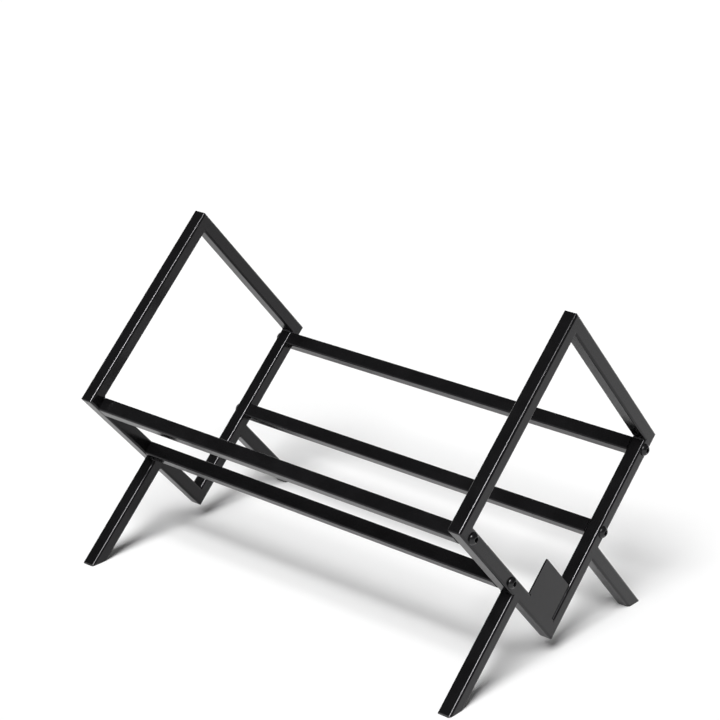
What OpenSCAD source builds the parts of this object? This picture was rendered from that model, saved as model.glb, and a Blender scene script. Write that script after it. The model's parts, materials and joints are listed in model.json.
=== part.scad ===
// Storage stand: two square end frames, each stood on one corner with a leg down either side,
// joined by four bolted rails so that the lower bars and the rails make a V-shaped cradle.
// Frames, legs and rails are all one square steel tube. The frames are mitred and welded, the
// legs are welded on, and the rails are plain lengths bolted between the frames. Millimetres.
// X runs along the stand, -Y is its front and Z is up. The origin is on the floor, under the
// middle of the stand.

/* [Stand] */
// Length over the outer faces of the two end frames
stand_length = 405; // [200:1:900]
// Outer side of a square end frame
frame_side = 200; // [170:1:320]
// Height of the frames' lowest corner above the floor
ground_clearance = 14.5; // [5:0.5:60]

/* [Tube] */
// Outer side of the square tube
tube = 12.7; // [11:0.1:16]
// Wall thickness of the tube
wall = 1.2; // [0.8:0.1:1.6]
// Radius of the long outer edges of the tube
edge_radius = 2; // [0.4:0.1:2.4]
// Radius that the frames' welded outer corners are ground to
corner_radius = 1.5; // [0.5:0.1:2.5]

/* [Legs] */
// Distance from the frame's lowest corner to the leg, along the lower bar
leg_offset = 76; // [30:1:120]

/* [Rails] */
// Distance from the frame's lowest corner to the middle of the lower rail, along the lower bar
lower_rail_height = 100; // [60:1:130]
// Length of the threaded plug in each end of a rail
plug_length = 16; // [8:1:30]
// Gap between a plug, or a cap's ribs, and the inside of the tube, on each side
plug_gap = 0.05; // [0.02:0.01:0.2]

/* [Bolts] */
// Thread diameter of a bolt
bolt_d = 6; // [4:0.5:6.5]
// Length of a bolt under its head
bolt_length = 25; // [18:1:40]
// Extra diameter of the holes that the bolts pass through in the bars
bolt_clearance = 0.6; // [0.2:0.1:1]
// Extra diameter of the threaded bore in a plug over the bolt
thread_clearance = 0.1; // [0.04:0.02:0.3]
// Length of the chamfered tip of a bolt
bolt_tip = 1; // [0.4:0.1:1.5]
// Diameter of the domed head
head_d = 10.5; // [9:0.5:13]
// Height of the domed head
head_height = 3.3; // [2.6:0.1:4.5]
// Height of the straight rim under the dome
head_rim = 0.6; // [0.2:0.1:1]
// Width of the hexagon socket, across its flats
socket_width = 4; // [2.5:0.5:5]
// Depth of the hexagon socket
socket_depth = 2.1; // [1.5:0.1:2.4]
// Width of the flat land round the socket
socket_land = 0.4; // [0.1:0.1:0.6]

/* [Corner plate] */
// Length of the plate along the lower front bar
plate_long = 52.2; // [20:0.1:90]
// Length of the plate along the lower rear bar
plate_short = 32.3; // [20:0.1:90]
// Thickness of the plate
plate_thickness = 1.2; // [1:0.1:6]
// Depth of the plate's face behind the frame's outer face
plate_inset = 1.5; // [0:0.1:4]
// Radius of the plate's free corner
plate_corner = 1; // [0.5:0.1:8]

/* [Foot caps] */
// Thickness of the pad between the leg's end and the floor
pad_thickness = 1; // [0.8:0.1:4]
// Depth of the cap inside the leg, on the leg's short side
cap_depth = 12; // [5:0.5:30]
// Height of the ribs that grip the inside of the leg
rib_height = 0.8; // [0.3:0.1:1.5]
// Thickness of a rib
rib_width = 1; // [0.5:0.1:1.5]
// Distance from one rib to the next
rib_pitch = 3; // [2:0.5:6]

/* [Hidden] */

// The two ends, as signs of X, and the two slopes of the V, as signs of Y
left = -1;
right = 1;
front = -1;
rear = 1;
// Each slope of the V climbs at this angle, so that the frames stand square on a corner
lean = 45;
// Inner side of the tube, and the side of what is pushed into it
tube_inside = tube - 2 * wall;
plug_side = tube_inside - 2 * plug_gap;
// The tube is bent from strip, so its wall is as thick round the edges as on the flats. Inside,
// a sharp edge still has this radius.
sharp_radius = 0.1;
inner_radius = max(edge_radius - wall, sharp_radius);
rail_length = stand_length - 2 * tube;
// The upper rail's top face is level with the inner faces of the upper bars
upper_rail_height = frame_side - tube - tube / 2;
rail_heights = [lower_rail_height, upper_rail_height];
// How far a cutting shape runs past what it cuts
cut = 1;
$fn = 48;

powder_coat = [0.13, 0.13, 0.14];
black_steel = [0.06, 0.06, 0.065];
zinc_steel = [0.62, 0.64, 0.66];
black_plastic = [0.03, 0.03, 0.03];

// ---- Places ----

// Stands a shape on its corner at the origin: y then climbs the rear slope of the V, and z
// climbs the front slope
module on_corner() {
    translate([0, 0, ground_clearance]) rotate([lean, 0, 0]) children();
}

// Places what is drawn for the front slope. The rear slope is its mirror image.
module on_slope(slope) {
    if (slope == front) on_corner() children();
    else mirror([0, 1, 0]) on_corner() children();
}

// Moves what is drawn from x = 0 to x = tube into the frame at one end
module in_frame(end) {
    translate([end == left ? -stand_length / 2 : stand_length / 2 - tube, 0, 0]) children();
}

// Turns what is drawn from z = 0 down the line of a leg, away from the lower bar
module along_leg() {
    translate([0, 0, leg_offset]) rotate([90, 0, 0]) children();
}

// Puts what is drawn about the z axis on the axis of each bolt at one end, with z pointing
// out of the stand, at this distance from the stand's middle
module on_bolt_axes(end, distance) {
    for (slope = [front, rear], height = rail_heights)
        on_slope(slope) translate([end * distance, tube / 2, height])
            rotate([0, end * 90, 0]) children();
}

// ---- Sections and outlines ----

// Square with its corners rounded to radius r
module rounded_square(side, r) {
    translate([r, 0]) square([side - 2 * r, side]);
    translate([0, r]) square([side, side - 2 * r]);
    for (x = [r, side - r], y = [r, side - r])
        translate([x, y]) circle(r);
}

// Square of this side in the middle of the tube's section, with the tube's inner corners
module square_in_tube(side) {
    margin = (tube - side) / 2;
    translate([margin, margin]) rounded_square(side, inner_radius);
}

// Tube along z, with one of its outer edges on the z axis
module tube_along_z(length) {
    linear_extrude(length) difference() {
        rounded_square(tube, edge_radius);
        square_in_tube(tube_inside);
    }
}

// Extrudes an outline drawn in the y-z plane along x, from x = 0
module along_x(depth) {
    rotate([90, 0, 90]) linear_extrude(depth) children();
}

// Same, past both faces of the tube, for an outline that trims it
module across_tube() {
    translate([-cut, 0, 0]) along_x(tube + 2 * cut) children();
}

// ---- End frames ----

// A bar of the frame, mitred at both ends, drawn where the lower front one lies
module mitred_bar() {
    intersection() {
        tube_along_z(frame_side);
        across_tube() intersection() {
            rounded_square(frame_side, corner_radius);
            polygon([
                [0, 0],
                [tube + cut, tube + cut],
                [tube + cut, frame_side - tube - cut],
                [0, frame_side]
            ]);
        }
    }
}

// A lower bar, drilled through for the bolts of the rails
module lower_bar() {
    difference() {
        mitred_bar();
        for (height = rail_heights)
            translate([-cut, tube / 2, height]) rotate([0, 90, 0])
                cylinder(h = tube + 2 * cut, d = bolt_d + bolt_clearance);
    }
}

// An upper bar, from the frame's front corner to its top corner
module upper_bar() {
    translate([0, 0, frame_side]) rotate([-90, 0, 0]) mitred_bar();
}

// ---- Legs and foot caps ----

// Distance down a leg, from the bar, to a level above the floor. The line is y further up the
// slope than the leg's lower side.
function leg_reach(y, level) = leg_offset + y + (ground_clearance - level) / sin(lean);

// Everything on the line of a leg between two levels above the floor
module leg_slice(low, high) {
    across_tube() polygon([
        [-cut, leg_reach(-cut, high)],
        [tube + cut, leg_reach(tube + cut, high)],
        [tube + cut, leg_reach(tube + cut, low)],
        [-cut, leg_reach(-cut, low)]
    ]);
}

// A leg, square to the bar that it is welded to and cut level over the pad of its cap
module leg() {
    along_leg() intersection() {
        tube_along_z(leg_reach(tube, 0));
        leg_slice(pad_thickness, ground_clearance + leg_offset + tube);
    }
}

// The part of a foot cap that is inside the leg: a core with ribs round it
module cap_plug() {
    top = leg_reach(0, pad_thickness) - cap_depth;
    translate([0, 0, top]) {
        linear_extrude(leg_reach(tube, 0) - top) square_in_tube(plug_side - 2 * rib_height);
        for (z = [0 : rib_pitch : cap_depth - rib_width])
            translate([0, 0, z]) linear_extrude(rib_width) square_in_tube(plug_side);
    }
}

// A foot cap: a level pad of the leg's own section, and the plug that holds it
module foot_cap() {
    along_leg() {
        intersection() {
            linear_extrude(leg_reach(tube, 0)) rounded_square(tube, edge_radius);
            leg_slice(0, pad_thickness);
        }
        intersection() {
            cap_plug();
            leg_slice(pad_thickness / 2, ground_clearance + leg_offset);
        }
    }
}

// ---- Rails, plugs and bolts ----

// A rail, cut square, between the inner faces of the end frames
module rail(height) {
    translate([-rail_length / 2, 0, height + tube / 2]) rotate([0, 90, 0])
        tube_along_z(rail_length);
}

// Threaded plug in the end of a rail, with its outer face at z = 0
module rail_plug() {
    translate([0, 0, -plug_length]) difference() {
        translate([-tube / 2, -tube / 2]) linear_extrude(plug_length) square_in_tube(plug_side);
        translate([0, 0, -cut]) cylinder(h = plug_length + 2 * cut, d = bolt_d + thread_clearance);
    }
}

// Height of the centre of a sphere that passes through two circles about the z axis, given
// as their radius and height
function sphere_centre(r1, z1, r2, z2) = (r2 * r2 + z2 * z2 - r1 * r1 - z1 * z1) / (2 * (z2 - z1));

// Domed head of a bolt on z = 0: a straight rim, the dome, and a flat land round the socket
module bolt_head() {
    socket_d = socket_width / cos(30);
    rim_r = head_d / 2;
    centre = sphere_centre(rim_r, head_rim, socket_d / 2 + socket_land, head_height);
    difference() {
        intersection() {
            cylinder(h = head_height, d = head_d);
            translate([0, 0, centre]) sphere(norm([rim_r, head_rim - centre]));
        }
        translate([0, 0, head_height - socket_depth])
            cylinder(h = socket_depth + cut, d = socket_d, $fn = 6);
    }
}

// Button-head bolt, with the underside of its head at z = 0
module bolt() {
    bolt_head();
    translate([0, 0, bolt_tip - bolt_length]) cylinder(h = bolt_length - bolt_tip, d = bolt_d);
    translate([0, 0, -bolt_length]) cylinder(h = bolt_tip, d1 = bolt_d - bolt_tip, d2 = bolt_d);
}

// ---- Sub-parts ----

module left_lower_front_bar() {
    color(powder_coat) on_slope(front) in_frame(left) lower_bar();
}

module left_lower_rear_bar() {
    color(powder_coat) on_slope(rear) in_frame(left) lower_bar();
}

module left_upper_front_bar() {
    color(powder_coat) on_slope(front) in_frame(left) upper_bar();
}

module left_upper_rear_bar() {
    color(powder_coat) on_slope(rear) in_frame(left) upper_bar();
}

module right_lower_front_bar() {
    color(powder_coat) on_slope(front) in_frame(right) lower_bar();
}

module right_lower_rear_bar() {
    color(powder_coat) on_slope(rear) in_frame(right) lower_bar();
}

module right_upper_front_bar() {
    color(powder_coat) on_slope(front) in_frame(right) upper_bar();
}

module right_upper_rear_bar() {
    color(powder_coat) on_slope(rear) in_frame(right) upper_bar();
}

module left_front_leg() {
    color(powder_coat) on_slope(front) in_frame(left) leg();
}

module left_rear_leg() {
    color(powder_coat) on_slope(rear) in_frame(left) leg();
}

module right_front_leg() {
    color(powder_coat) on_slope(front) in_frame(right) leg();
}

module right_rear_leg() {
    color(powder_coat) on_slope(rear) in_frame(right) leg();
}

// Plate welded into the lowest corner of the right frame, a little behind its outer face
module corner_plate() {
    color(powder_coat) on_slope(front)
        translate([stand_length / 2 - plate_inset - plate_thickness, tube, tube]) along_x(plate_thickness) {
            square([plate_short, plate_long - plate_corner]);
            square([plate_short - plate_corner, plate_long]);
            translate([plate_short - plate_corner, plate_long - plate_corner]) circle(plate_corner);
        }
}

module front_lower_rail() {
    color(powder_coat) on_slope(front) rail(lower_rail_height);
}

module front_upper_rail() {
    color(powder_coat) on_slope(front) rail(upper_rail_height);
}

module rear_lower_rail() {
    color(powder_coat) on_slope(rear) rail(lower_rail_height);
}

module rear_upper_rail() {
    color(powder_coat) on_slope(rear) rail(upper_rail_height);
}

module left_rail_plugs() {
    color(zinc_steel) on_bolt_axes(left, rail_length / 2) rail_plug();
}

module right_rail_plugs() {
    color(zinc_steel) on_bolt_axes(right, rail_length / 2) rail_plug();
}

module left_rail_bolts() {
    color(black_steel) on_bolt_axes(left, stand_length / 2) bolt();
}

module right_rail_bolts() {
    color(black_steel) on_bolt_axes(right, stand_length / 2) bolt();
}

module left_front_foot_cap() {
    color(black_plastic) on_slope(front) in_frame(left) foot_cap();
}

module left_rear_foot_cap() {
    color(black_plastic) on_slope(rear) in_frame(left) foot_cap();
}

module right_front_foot_cap() {
    color(black_plastic) on_slope(front) in_frame(right) foot_cap();
}

module right_rear_foot_cap() {
    color(black_plastic) on_slope(rear) in_frame(right) foot_cap();
}

left_lower_front_bar();
left_lower_rear_bar();
left_upper_front_bar();
left_upper_rear_bar();
right_lower_front_bar();
right_lower_rear_bar();
right_upper_front_bar();
right_upper_rear_bar();
left_front_leg();
left_rear_leg();
right_front_leg();
right_rear_leg();
corner_plate();
front_lower_rail();
front_upper_rail();
rear_lower_rail();
rear_upper_rail();
left_rail_plugs();
right_rail_plugs();
left_rail_bolts();
right_rail_bolts();
left_front_foot_cap();
left_rear_foot_cap();
right_front_foot_cap();
right_rear_foot_cap();
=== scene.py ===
"""Looks of the storage stand: satin black powder coat on the tube, black bolts, welds, floor and light.

Lengths are in metres. A point of the stand is given by x, along it, and by a and b: how far it
is up the front slope and up the rear slope, from the line through the frames' lowest corners.
"""

import json
import math
from functools import partial

import bmesh
import bpy
from mathutils import Matrix, Vector


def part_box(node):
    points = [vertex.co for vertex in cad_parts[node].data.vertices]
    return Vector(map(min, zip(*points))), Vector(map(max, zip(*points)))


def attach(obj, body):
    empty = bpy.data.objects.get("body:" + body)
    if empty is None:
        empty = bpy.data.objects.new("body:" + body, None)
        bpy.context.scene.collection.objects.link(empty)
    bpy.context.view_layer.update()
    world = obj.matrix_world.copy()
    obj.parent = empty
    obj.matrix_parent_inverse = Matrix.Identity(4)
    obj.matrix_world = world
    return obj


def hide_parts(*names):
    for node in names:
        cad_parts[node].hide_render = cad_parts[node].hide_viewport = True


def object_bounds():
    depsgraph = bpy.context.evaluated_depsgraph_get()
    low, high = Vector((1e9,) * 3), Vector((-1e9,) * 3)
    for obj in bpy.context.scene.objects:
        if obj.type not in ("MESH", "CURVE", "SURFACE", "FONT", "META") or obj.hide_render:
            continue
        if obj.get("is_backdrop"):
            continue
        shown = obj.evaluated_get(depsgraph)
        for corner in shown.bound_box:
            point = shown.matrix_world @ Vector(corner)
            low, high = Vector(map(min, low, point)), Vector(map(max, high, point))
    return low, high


MM = 0.001

# ---- The stand's own sizes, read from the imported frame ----

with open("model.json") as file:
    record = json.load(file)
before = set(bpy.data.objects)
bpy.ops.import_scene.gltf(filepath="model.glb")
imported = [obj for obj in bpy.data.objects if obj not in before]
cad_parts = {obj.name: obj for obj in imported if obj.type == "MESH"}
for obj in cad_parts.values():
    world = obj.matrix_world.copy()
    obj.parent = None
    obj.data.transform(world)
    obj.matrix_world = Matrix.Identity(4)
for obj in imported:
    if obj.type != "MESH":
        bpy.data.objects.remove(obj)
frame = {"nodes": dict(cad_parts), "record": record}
cad_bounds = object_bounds()

# Sine and cosine of the angle at which both slopes of the stand climb
SIN = math.sin(math.radians(45))
X = Vector((1, 0, 0))
UP_FRONT = Vector((0, -SIN, SIN))
UP_REAR = Vector((0, SIN, SIN))
FRONT, REAR = "front", "rear"
# Each end of the stand, with its sign along x
ENDS = {"left": -1, "right": 1}


def centre_of(node):
    """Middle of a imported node's box."""
    low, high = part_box(node)
    return (Vector(low) + Vector(high)) / 2


leg_low, leg_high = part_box("right_front_leg")
plate_low, plate_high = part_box("corner_plate")
tube = leg_high[0] - leg_low[0]
end_x = leg_high[0]
rail_end_x = end_x - tube
lower_rail = centre_of("front_lower_rail")
upper_rail = centre_of("front_upper_rail")
# A front rail's middle is half a tube up the rear slope, which gives the height of the corner
corner_z = lower_rail.z + lower_rail.y - tube / 2 / SIN
rail_heights = [(rail.z - corner_z - rail.y) * SIN for rail in (lower_rail, upper_rail)]
# The upper rail's middle is one and a half tubes short of the frame's side
frame_side = rail_heights[1] + 1.5 * tube
# A leg's top corner is a tube's width further up the slope than its offset
leg_offset = (leg_high[2] - corner_z) / SIN - tube
plate_back, plate_face = plate_low[0], plate_high[0]
# Length of the plate's side along the lower bar on each slope
plate_sides = {FRONT: -plate_low[1] / SIN, REAR: plate_high[1] / SIN}

# Radius of the tube's long edges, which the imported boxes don't give
EDGE_RADIUS = 2 * MM


def on_stand(x, a, b, slope=FRONT):
    """A point of the stand. For the rear slope, a and b change places."""
    if slope == REAR:
        a, b = b, a
    return Vector((x, (b - a) * SIN, corner_z + (a + b) * SIN))


def directions(slope):
    """Unit vectors of a and b, as on_stand takes them on that slope."""
    return (UP_FRONT, UP_REAR) if slope == FRONT else (UP_REAR, UP_FRONT)


# ---- Nodes of a material ----


class Nodes:
    """Short ways to add and join the nodes of one material or world."""

    def __init__(self, owner):
        owner.use_nodes = True
        self.tree = owner.node_tree
        self.tree.nodes.clear()

    def add(self, kind, inputs=None, **settings):
        """A new node with these settings. An input is a constant or the output of a node."""
        node = self.tree.nodes.new(kind)
        for name, value in settings.items():
            setattr(node, name, value)
        for name, value in (inputs or {}).items():
            if isinstance(value, bpy.types.NodeSocket):
                self.tree.links.new(value, node.inputs[name])
            else:
                node.inputs[name].default_value = value
        return node

    def place(self):
        """The place of a point in its own object, which is also its place in the stand."""
        return self.add("ShaderNodeTexCoord").outputs["Object"]

    def noise(self, where, scale, detail=2.0, roughness=0.5):
        inputs = {"Vector": where, "Scale": scale, "Detail": detail, "Roughness": roughness}
        return self.add("ShaderNodeTexNoise", inputs).outputs["Fac"]

    def to_range(self, value, low=0.0, high=1.0, start=0.3, stop=0.7):
        """Spreads a value between start and stop, where most noise lies, from low to high."""
        inputs = {"Value": value, "From Min": start, "From Max": stop, "To Min": low, "To Max": high}
        return self.add("ShaderNodeMapRange", inputs).outputs["Result"]

    def mix_colour(self, factor, first, second, blend_type="MIX"):
        inputs = {"Factor": factor, "A": first, "B": second}
        node = self.add("ShaderNodeMix", inputs, data_type="RGBA", blend_type=blend_type)
        return node.outputs["Result"]

    def bump(self, height, distance, strength, below=None):
        """A bumpy normal. below is the normal of the bumps that these lie on, if there are any."""
        inputs = {"Height": height, "Distance": distance, "Strength": strength}
        if below is not None:
            inputs["Normal"] = below
        return self.add("ShaderNodeBump", inputs).outputs["Normal"]

    def principled(self, inputs):
        """Ends a material with a Principled shader."""
        shader = self.add("ShaderNodeBsdfPrincipled", inputs)
        self.add("ShaderNodeOutputMaterial", {"Surface": shader.outputs["BSDF"]})


# ---- Materials. Scales are in cells per metre, and colours are linear ----

COAT_DARK = (0.0036, 0.0035, 0.0038, 1)
COAT_LIGHT = (0.0056, 0.0055, 0.0059, 1)
COAT_SPECK = (0.015, 0.015, 0.016, 1)
COAT_SHEEN = (1.0, 0.975, 1.02, 1)
# Lower than paint's, because the flat faces in the photograph mirror the floor only faintly
COAT_IOR = 1.30
OXIDE_DARK = (0.004, 0.004, 0.0045, 1)
OXIDE_LIGHT = (0.008, 0.008, 0.009, 1)
OXIDE_IOR = 1.45
ZINC_DARK = (0.50, 0.51, 0.53, 1)
ZINC_LIGHT = (0.64, 0.65, 0.66, 1)
PLASTIC_DARK = (0.003, 0.003, 0.003, 1)
PLASTIC_LIGHT = (0.006, 0.006, 0.0063, 1)


def powder_coat():
    """Satin black powder coat: fine orange peel, a few specks and slight changes of gloss."""
    material = bpy.data.materials.new("powder_coat_black")
    nodes = Nodes(material)
    where = nodes.place()
    peel = nodes.noise(where, scale=900, detail=3.0, roughness=0.55)
    waves = nodes.noise(where, scale=160)
    patches = nodes.noise(where, scale=38, detail=4.0, roughness=0.6)
    specks = nodes.to_range(nodes.noise(where, scale=2600, detail=1.0), start=0.70, stop=0.78)
    shade = nodes.mix_colour(nodes.to_range(patches), COAT_DARK, COAT_LIGHT)
    wavy = nodes.bump(waves, distance=0.04 * MM, strength=0.5)
    nodes.principled({
        "Base Color": nodes.mix_colour(specks, shade, COAT_SPECK, blend_type="ADD"),
        "Roughness": nodes.to_range(patches, 0.16, 0.22),
        "IOR": COAT_IOR,
        "Specular Tint": COAT_SHEEN,
        "Normal": nodes.bump(peel, distance=0.012 * MM, strength=0.5, below=wavy),
    })
    return material


def black_steel():
    """Black oxide on the bolts: an oiled black layer with a faint mottle."""
    material = bpy.data.materials.new("black_oxide_steel")
    nodes = Nodes(material)
    where = nodes.place()
    mottle = nodes.noise(where, scale=700, detail=3.0)
    grain = nodes.noise(where, scale=3500)
    nodes.principled({
        "Base Color": nodes.mix_colour(nodes.to_range(mottle), OXIDE_DARK, OXIDE_LIGHT),
        "Roughness": nodes.to_range(mottle, 0.20, 0.28),
        "IOR": OXIDE_IOR,
        "Normal": nodes.bump(grain, distance=0.01 * MM, strength=0.5),
    })
    return material


def zinc_steel():
    """Zinc plate on the threaded plugs inside the rails."""
    material = bpy.data.materials.new("zinc_plated_steel")
    nodes = Nodes(material)
    spangle = nodes.noise(nodes.place(), scale=450, detail=4.0, roughness=0.65)
    nodes.principled({
        "Base Color": nodes.mix_colour(nodes.to_range(spangle), ZINC_DARK, ZINC_LIGHT),
        "Metallic": 1.0,
        "Roughness": nodes.to_range(spangle, 0.28, 0.42),
    })
    return material


def black_plastic():
    """Moulded foot caps: matt black with a fine spark-eroded grain."""
    material = bpy.data.materials.new("black_moulded_plastic")
    nodes = Nodes(material)
    where = nodes.place()
    grain = nodes.noise(where, scale=2200, detail=3.0)
    wear = nodes.noise(where, scale=120, detail=3.0)
    nodes.principled({
        "Base Color": nodes.mix_colour(nodes.to_range(wear), PLASTIC_DARK, PLASTIC_LIGHT),
        "Roughness": nodes.to_range(wear, 0.55, 0.68),
        "Normal": nodes.bump(grain, distance=0.03 * MM, strength=0.8),
    })
    return material


def dress_frame(materials):
    """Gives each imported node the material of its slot."""
    slots = {part["node"]: part["material_slot"] for part in frame["record"]["subparts"]}
    for name, node in frame["nodes"].items():
        node.data.materials.clear()
        node.data.materials.append(materials[slots[name]])


# ---- Meshes ----

# Points as close as this are made one, so that a ring without radius ends in a clean tip
SAME_POINT = 0.0001 * MM


def new_piece(name, make_mesh, material, sharp_deg=35):
    """Adds a piece that make_mesh(bm) draws, shaded smooth but for its sharp edges."""
    mesh = bpy.data.meshes.new(name)
    bm = bmesh.new()
    make_mesh(bm)
    bmesh.ops.remove_doubles(bm, verts=bm.verts, dist=SAME_POINT)
    bmesh.ops.recalc_face_normals(bm, faces=bm.faces)
    bm.to_mesh(mesh)
    bm.free()
    mesh.polygons.foreach_set("use_smooth", [True] * len(mesh.polygons))
    mesh.set_sharp_from_angle(angle=math.radians(sharp_deg))
    mesh.materials.append(material)
    piece = bpy.data.objects.new(name, mesh)
    bpy.context.scene.collection.objects.link(piece)
    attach(piece, "root")
    return piece


def skin(bm, rings):
    """Skins a list of rings of points, each ring with as many as the last, and closes its ends."""
    rings = [[bm.verts.new(point) for point in ring] for ring in rings]
    for first, second in zip(rings, rings[1:]):
        for i in range(len(first)):
            j = (i + 1) % len(first)
            bm.faces.new((first[i], first[j], second[j], second[i]))
    bm.faces.new(list(reversed(rings[0])))
    bm.faces.new(rings[-1])


# ---- Welds ----

# Size of a fillet along its two faces: of most fillets, of those in the frames' windows, and of
# the bead on the corner plate's face
WELD_LEG = 1.0 * MM
WINDOW_LEG = 1.2 * MM
BEAD_LEG = 0.27 * MM
# Depth of a fillet's root behind the corner's line
WELD_ROOT = 0.25 * MM
# Rise of a fillet's face, as a share of its size
WELD_BULGE = 0.16
# The crescents of a hand weld: their pitch, their height, and how far they bow, in pitches
RIPPLE_PITCH = 1.3 * MM
RIPPLE_HEIGHT = 0.07 * MM
RIPPLE_BOW = 0.6
# Angle by which the crescents of each next window weld start later
RIPPLE_SHIFT = 1.7
# Length of a weld's round end, and its least share of the full size there
WELD_END = 0.9 * MM
LEAST_SHARE = 0.05
# Share of the full size up to which a fillet's face is flat
FLAT_SHARE = 0.1
# Points across a fillet's face
WELD_POINTS = 9
# Distance from ring to ring along a fillet and along a weld that is ground flush
FILLET_STEP = 0.2 * MM
FLUSH_STEP = 0.8 * MM
FEWEST_STEPS = 6
# How far a weld stops short of the faces beside it, at a leg and in a window
LEG_MARGIN = 0.5 * MM
WINDOW_MARGIN = 0.8 * MM
# Stitches behind the corner plate: the slope of their bar, their middle as a share of the
# plate's side on that bar, and the angle at which their crescents start
STITCH_LENGTH = 9 * MM
STITCHES = (
    (FRONT, 0.42, 3.78),
    (FRONT, 0.86, 7.74),
    (REAR, 0.72, 2.4),
)
# How far the bead leans from x, to follow the rounded edge of the bar
BEAD_LEAN = math.radians(25.5)
# How far the two welds on the plate's face run into a bar past the plate's corner
BEAD_OVERRUN = 1.0 * MM
FLUSH_OVERRUN = 0.5 * MM


def end_share(distance, length):
    """Share of a weld's full size: 1 along it, and down a quarter circle at its two ends."""
    from_end = min(distance, length - distance)
    if from_end >= WELD_END:
        return 1.0
    short_by = 1 - from_end / WELD_END
    return max(LEAST_SHARE, math.sqrt(max(0.0, 1 - short_by ** 2)))


def add_weld(bm, start, end, step, ring_at):
    """A weld from start to end. ring_at gives the ring round a point of that line, from its
    distance along the weld and the share of the full size that the weld has there."""
    along = (end - start).normalized()
    length = (end - start).length
    steps = max(FEWEST_STEPS, round(length / step))
    rings = []
    for i in range(steps + 1):
        distance = length * i / steps
        rings.append(ring_at(start + along * distance, distance, end_share(distance, length)))
    skin(bm, rings)


def add_fillet(bm, start, end, side_1, side_2, leg=WELD_LEG, phase=0.0):
    """A fillet weld in the inside corner from start to end, with the crescents of a hand weld.
    side_1 and side_2 lie in the two faces and point away from the corner."""
    out = (side_1 + side_2).normalized()

    def ring_at(point, distance, share):
        size = leg * share
        ring = [point - out * WELD_ROOT]
        for i in range(WELD_POINTS):
            across = i / (WELD_POINTS - 1)
            arch = math.sin(math.pi * across)
            turn = 2 * math.pi * (distance / RIPPLE_PITCH + RIPPLE_BOW * arch) + phase
            ripple = RIPPLE_HEIGHT * (0.5 + 0.5 * math.sin(turn)) ** 2 * arch
            rise = (WELD_BULGE * size + ripple) * arch if share > FLAT_SHARE else 0
            ring.append(point + side_1 * size * (1 - across) + side_2 * size * across + out * rise)
        return ring

    add_weld(bm, start, end, FILLET_STEP, ring_at)


def add_flush_weld(bm, start, end, into_1, into_2):
    """Weld metal ground level in the notch that a tube's rounded edge leaves. The ground face
    runs from the line start-end along into_1; the metal reaches along into_2 under it."""

    def ring_at(point, _distance, share):
        reach = EDGE_RADIUS * share
        return [point, point + into_1 * reach, point + into_2 * reach]

    add_weld(bm, start, end, FLUSH_STEP, ring_at)


def leg_welds(bm, end, slope):
    """A fillet under a leg's root, and the ground welds at its two flush faces."""
    side = ENDS[end]
    up, other = directions(slope)
    outer, inner = side * end_x, side * rail_end_x
    start = on_stand(outer - side * LEG_MARGIN, leg_offset, 0, slope)
    stop = on_stand(inner + side * LEG_MARGIN, leg_offset, 0, slope)
    add_fillet(bm, start, stop, -up, -other)
    for x, inward in ((outer, -side * X), (inner, side * X)):
        start = on_stand(x, leg_offset + LEG_MARGIN, 0, slope)
        stop = on_stand(x, leg_offset + tube - LEG_MARGIN, 0, slope)
        add_flush_weld(bm, start, stop, other, inward)


def window_welds(bm, end):
    """Small fillets in the four inside corners of an end frame."""
    side = ENDS[end]
    low, high = tube, frame_side - tube
    outer, inner = side * (end_x - WINDOW_MARGIN), side * (rail_end_x + WINDOW_MARGIN)
    # The corner plate covers the outer part of its corner
    lowest_outer = plate_back if end == "right" else outer
    corners = (
        (lowest_outer, low, low, UP_FRONT, UP_REAR),
        (outer, high, low, -UP_FRONT, UP_REAR),
        (outer, low, high, UP_FRONT, -UP_REAR),
        (outer, high, high, -UP_FRONT, -UP_REAR),
    )
    for number, (x, a, b, side_1, side_2) in enumerate(corners):
        start, stop = on_stand(x, a, b), on_stand(inner, a, b)
        add_fillet(bm, start, stop, side_1, side_2, leg=WINDOW_LEG, phase=number * RIPPLE_SHIFT)


def plate_welds(bm):
    """Stitches along the back of the corner plate. Its face has a thin bead along the rear bar,
    and a weld ground level with the front bar."""
    for slope, share, phase in STITCHES:
        _, other = directions(slope)
        middle = tube + plate_sides[slope] * share
        start = on_stand(plate_back, middle - STITCH_LENGTH / 2, tube, slope)
        stop = on_stand(plate_back, middle + STITCH_LENGTH / 2, tube, slope)
        add_fillet(bm, start, stop, other, -X, phase=phase)
    start = on_stand(plate_face, tube, tube - BEAD_OVERRUN)
    stop = on_stand(plate_face, tube, tube + plate_sides[REAR])
    up_the_edge = X * math.cos(BEAD_LEAN) - UP_FRONT * math.sin(BEAD_LEAN)
    add_fillet(bm, start, stop, UP_FRONT, up_the_edge, leg=BEAD_LEG)
    start = on_stand(end_x, tube - FLUSH_OVERRUN, tube)
    stop = on_stand(end_x, tube + plate_sides[FRONT], tube)
    add_flush_weld(bm, start, stop, -UP_REAR, -X)


def make_welds(material):
    """One piece for each leg's welds, for each end frame's and for the corner plate's."""
    for end in ENDS:
        for slope in (FRONT, REAR):
            make_mesh = partial(leg_welds, end=end, slope=slope)
            new_piece(f"{end}_{slope}_leg_welds", make_mesh, material)
        new_piece(f"{end}_frame_welds", partial(window_welds, end=end), material)
    new_piece("corner_plate_welds", plate_welds, material)


# ---- Bolts ----

BOLT_D = 6 * MM
BOLT_LENGTH = 25 * MM
BOLT_PITCH = 1 * MM
HEAD_D = 10.5 * MM
HEAD_HEIGHT = 3.3 * MM
HEAD_RIM = 0.6 * MM
RIM_ROUND = 0.2 * MM
SOCKET_WIDTH = 4 * MM
SOCKET_DEPTH = 2.1 * MM
SOCKET_CHAMFER = 0.25 * MM
SOCKET_LAND = 0.4 * MM
DRILL_POINT = 0.5 * MM
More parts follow.
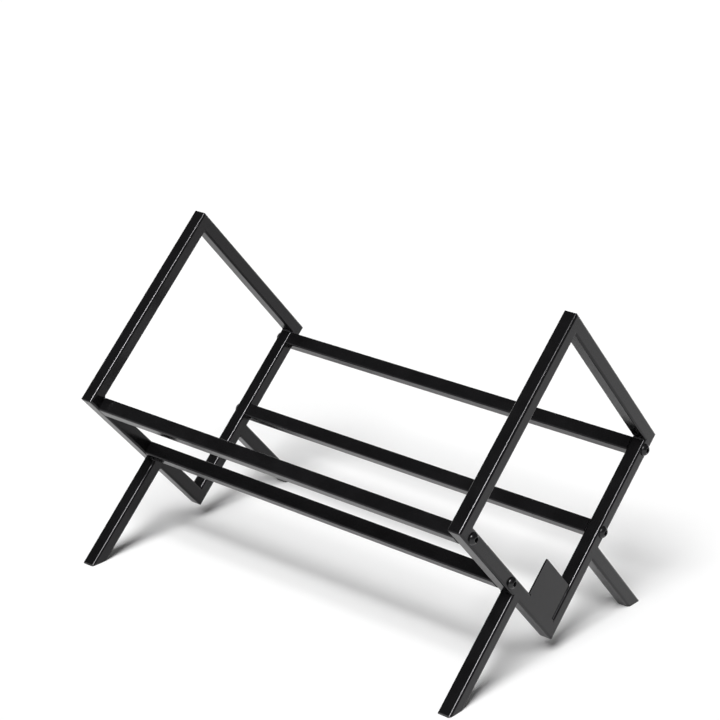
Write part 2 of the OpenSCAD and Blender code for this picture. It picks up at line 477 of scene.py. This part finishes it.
# Length of the shank without thread
PLAIN_SHANK = 7 * MM
# How far the shank is inside its nominal radius
SHANK_GAP = 0.02 * MM
# Depth that the thread would have with a sharp crest, and the share of the pitch that is flat
THREAD_DEPTH = 0.55 * MM
THREAD_CREST = 0.15
# How much the radius of the tip loses for each unit of its length
TIP_SLOPE = 0.5
# Points round a bolt
RING_POINTS = 96
# Rings in one pitch of the shank, and over the dome
PITCH_RINGS = 6
DOME_RINGS = 15
# How far the first bolt's socket is turned, and how much more each next one is
FIRST_TURN = math.radians(17)
NEXT_TURN = math.radians(23)
# A bolt's edges are drawn sharp from this angle
BOLT_SHARP_DEG = 28


def circle(radius):
    """Radius at any angle of a circle."""
    return lambda angle: radius


def hexagon(across_flats):
    """Radius at an angle of a hexagon with a corner at 0."""
    sixth = math.pi / 3
    return lambda angle: across_flats / 2 / math.cos((angle + sixth / 2) % sixth - sixth / 2)


def shank(depth):
    """Radius at an angle of the shank, this deep under the head: plain, then a rolled thread."""
    full = BOLT_D / 2 - SHANK_GAP
    if depth < PLAIN_SHANK:
        return circle(full)
    grown = min(1.0, (depth - PLAIN_SHANK) / BOLT_PITCH)
    tip = TIP_SLOPE * max(0.0, depth - (BOLT_LENGTH - BOLT_PITCH))

    def radius(angle):
        turns = depth / BOLT_PITCH - angle / (2 * math.pi)
        wave = abs(turns % 1 * 2 - 1)
        return full - THREAD_DEPTH * max(0.0, wave - THREAD_CREST) * grown - tip

    return radius


def head_profile():
    """Rings of the head, from its underside out to the rim, over the dome and into the socket."""
    corner_r = SOCKET_WIDTH / 2 / math.cos(math.pi / 6)
    land_r = corner_r + SOCKET_LAND
    rim_r = HEAD_D / 2
    rise = HEAD_HEIGHT - HEAD_RIM
    # Centre height of the sphere through the top of the rim and the edge of the land
    centre = (land_r ** 2 + HEAD_HEIGHT ** 2 - rim_r ** 2 - HEAD_RIM ** 2) / (2 * rise)
    dome_r = math.hypot(rim_r, HEAD_RIM - centre)
    rings = []
    for deg in (0, 30, 60, 90):
        turn = math.radians(deg)
        bend = RIM_ROUND * (1 - math.cos(turn))
        rings.append((circle(rim_r - RIM_ROUND + RIM_ROUND * math.sin(turn)), bend))
    low = math.asin((HEAD_RIM - centre) / dome_r)
    high = math.asin((HEAD_HEIGHT - centre) / dome_r)
    for i in range(DOME_RINGS):
        turn = low + (high - low) * i / (DOME_RINGS - 1)
        rings.append((circle(dome_r * math.cos(turn)), centre + dome_r * math.sin(turn)))
    rings.append((circle(corner_r + SOCKET_CHAMFER), HEAD_HEIGHT))
    rings.append((hexagon(SOCKET_WIDTH), HEAD_HEIGHT - SOCKET_CHAMFER))
    rings.append((hexagon(SOCKET_WIDTH), HEAD_HEIGHT - SOCKET_DEPTH))
    rings.append((circle(0.0), HEAD_HEIGHT - SOCKET_DEPTH - DRILL_POINT))
    return rings


def add_bolt(bm, place):
    """A button-head bolt with the underside of its head at the origin of place and z outwards."""
    steps = PITCH_RINGS * round(BOLT_LENGTH / BOLT_PITCH)
    profile = [(circle(0.0), -BOLT_LENGTH)]
    for i in range(steps + 1):
        depth = BOLT_LENGTH * (1 - i / steps)
        profile.append((shank(depth), -depth))
    profile += head_profile()
    rings = []
    for radius, z in profile:
        ring = []
        for i in range(RING_POINTS):
            angle = 2 * math.pi * i / RING_POINTS
            reach = radius(angle)
            ring.append(place @ Vector((reach * math.cos(angle), reach * math.sin(angle), z)))
        rings.append(ring)
    skin(bm, rings)


def bolt_place(end, slope, height, turn):
    """Where a bolt's head meets its bar, with z out of the stand, turned about the bolt's axis."""
    side = ENDS[end]
    spot = Matrix.Translation(on_stand(side * end_x, height, tube / 2, slope))
    return spot @ Matrix.Rotation(side * math.pi / 2, 4, "Y") @ Matrix.Rotation(turn, 4, "Z")


def end_bolts(bm, end):
    """The four bolts of one end, every socket left at its own angle."""
    spots = [(slope, height) for slope in (FRONT, REAR) for height in rail_heights]
    for number, (slope, height) in enumerate(spots):
        add_bolt(bm, bolt_place(end, slope, height, FIRST_TURN + NEXT_TURN * number))


def make_bolts(material):
    """One piece for each end's bolts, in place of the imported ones."""
    for end in ENDS:
        make_mesh = partial(end_bolts, end=end)
        piece = new_piece(f"{end}_bolts", make_mesh, material, BOLT_SHARP_DEG)
        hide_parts(f"{end}_rail_bolts")


# ---- Floor and light ----

FLOOR_SIZE = 60
FLOOR_WHITE = (0.97, 0.97, 0.97, 1)
# The lamps' angles are the widths at which they are seen, in degrees. The soft box is in front,
# above and a little to the right, and gives the soft shadows.
SOFT_BOX_DIRECTION = Vector((-0.167, 0.627, -0.760))
SOFT_BOX_ANGLE = 28
SOFT_BOX_STRENGTH = 3.95
# The edge light is small and sharp. It draws the line of light along the tube's rounded edges.
EDGE_LIGHT_DIRECTION = Vector((-0.131, 0.513, -0.849))
EDGE_LIGHT_ANGLE = 5
EDGE_LIGHT_STRENGTH = 1.9
# The sky's strength is 1 up to the first height, and falls to the dark value at the second.
# Heights are sines of the angle over the horizon.
SKY_WHITE_BELOW = 0.02
SKY_DARK_ABOVE = 0.22
SKY_DARK = 0.09


def make_floor():
    """A plain white floor, wide enough to be the background too."""
    material = bpy.data.materials.new("pale_floor")
    nodes = Nodes(material)
    lit = nodes.add("ShaderNodeBsdfDiffuse", {"Color": FLOOR_WHITE})
    nodes.add("ShaderNodeOutputMaterial", {"Surface": lit.outputs["BSDF"]})
    mesh = bpy.data.meshes.new("floor")
    half = FLOOR_SIZE / 2
    corners = [(-half, -half, 0), (half, -half, 0), (half, half, 0), (-half, half, 0)]
    mesh.from_pydata(corners, [], [(0, 1, 2, 3)])
    mesh.materials.append(material)
    floor = bpy.data.objects.new("floor", mesh)
    bpy.context.scene.collection.objects.link(floor)
    floor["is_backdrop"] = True


def make_sky():
    """A studio that is white round the horizon and dark overhead."""
    world = bpy.data.worlds.new("studio")
    bpy.context.scene.world = world
    nodes = Nodes(world)
    direction = nodes.add("ShaderNodeTexCoord").outputs["Generated"]
    height = nodes.add("ShaderNodeSeparateXYZ", {"Vector": direction}).outputs["Z"]
    strength = nodes.to_range(height, 1.0, SKY_DARK, start=SKY_WHITE_BELOW, stop=SKY_DARK_ABOVE)
    light = nodes.add("ShaderNodeBackground", {"Color": (1, 1, 1, 1), "Strength": strength})
    nodes.add("ShaderNodeOutputWorld", {"Surface": light.outputs["Background"]})


def make_lamp(name, direction, strength, angle):
    """A far lamp that shines in this direction and looks this many degrees wide."""
    lamp = bpy.data.lights.new(name, "SUN")
    lamp.energy = strength
    lamp.angle = math.radians(angle)
    holder = bpy.data.objects.new(name, lamp)
    holder.rotation_mode = "QUATERNION"
    holder.rotation_quaternion = direction.to_track_quat("-Z", "Y")
    bpy.context.scene.collection.objects.link(holder)
    return holder


def make_lamps():
    """The studio's two lamps."""
    make_lamp("soft_box", SOFT_BOX_DIRECTION, SOFT_BOX_STRENGTH, SOFT_BOX_ANGLE)
    edge_light = make_lamp("edge_light", EDGE_LIGHT_DIRECTION, EDGE_LIGHT_STRENGTH, EDGE_LIGHT_ANGLE)
    # Seen only in reflections, so that it adds no light and no hard shadow to the floor
    edge_light.visible_diffuse = False


# ---- Camera ----

CAMERA_PLACE = Vector((0.99521, -1.28589, 0.78750))
CAMERA_TURN = math.radians(-37.9986)
CAMERA_DOWN = math.radians(19.6544)
CAMERA_ROLL = math.radians(2.4200)
CAMERA_LENS_MM = 101.998
SENSOR_MM = 36


def make_camera():
    """The photograph's view: turned left of +Y, tipped down and rolled a little."""
    lens = bpy.data.cameras.new("camera")
    lens.lens = CAMERA_LENS_MM
    lens.sensor_width = SENSOR_MM
    camera = bpy.data.objects.new("camera", lens)
    forward = Vector((
        math.sin(CAMERA_TURN) * math.cos(CAMERA_DOWN),
        math.cos(CAMERA_TURN) * math.cos(CAMERA_DOWN),
        -math.sin(CAMERA_DOWN),
    ))
    level = Vector((math.cos(CAMERA_TURN), -math.sin(CAMERA_TURN), 0))
    upright = level.cross(forward)
    right = math.cos(CAMERA_ROLL) * level + math.sin(CAMERA_ROLL) * upright
    up = math.cos(CAMERA_ROLL) * upright - math.sin(CAMERA_ROLL) * level
    turn = Matrix((right, up, -forward)).transposed().to_4x4()
    camera.matrix_world = Matrix.Translation(CAMERA_PLACE) @ turn
    bpy.context.scene.collection.objects.link(camera)
    bpy.context.scene.camera = camera


# ---- The whole scene ----


def write_sizes():
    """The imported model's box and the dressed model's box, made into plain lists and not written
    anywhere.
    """
    boxes = {"cad": cad_bounds, "visual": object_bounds()}
    plain = {name: [list(corner) for corner in box] for name, box in boxes.items()}


bpy.context.scene.view_settings.view_transform = "Standard"
coat = powder_coat()
oxide = black_steel()
dress_frame({
    "powder_coat": coat,
    "black_steel": oxide,
    "zinc_steel": zinc_steel(),
    "black_plastic": black_plastic(),
})
make_welds(coat)
make_bolts(oxide)
make_floor()
make_sky()
make_lamps()
make_camera()
write_sizes()
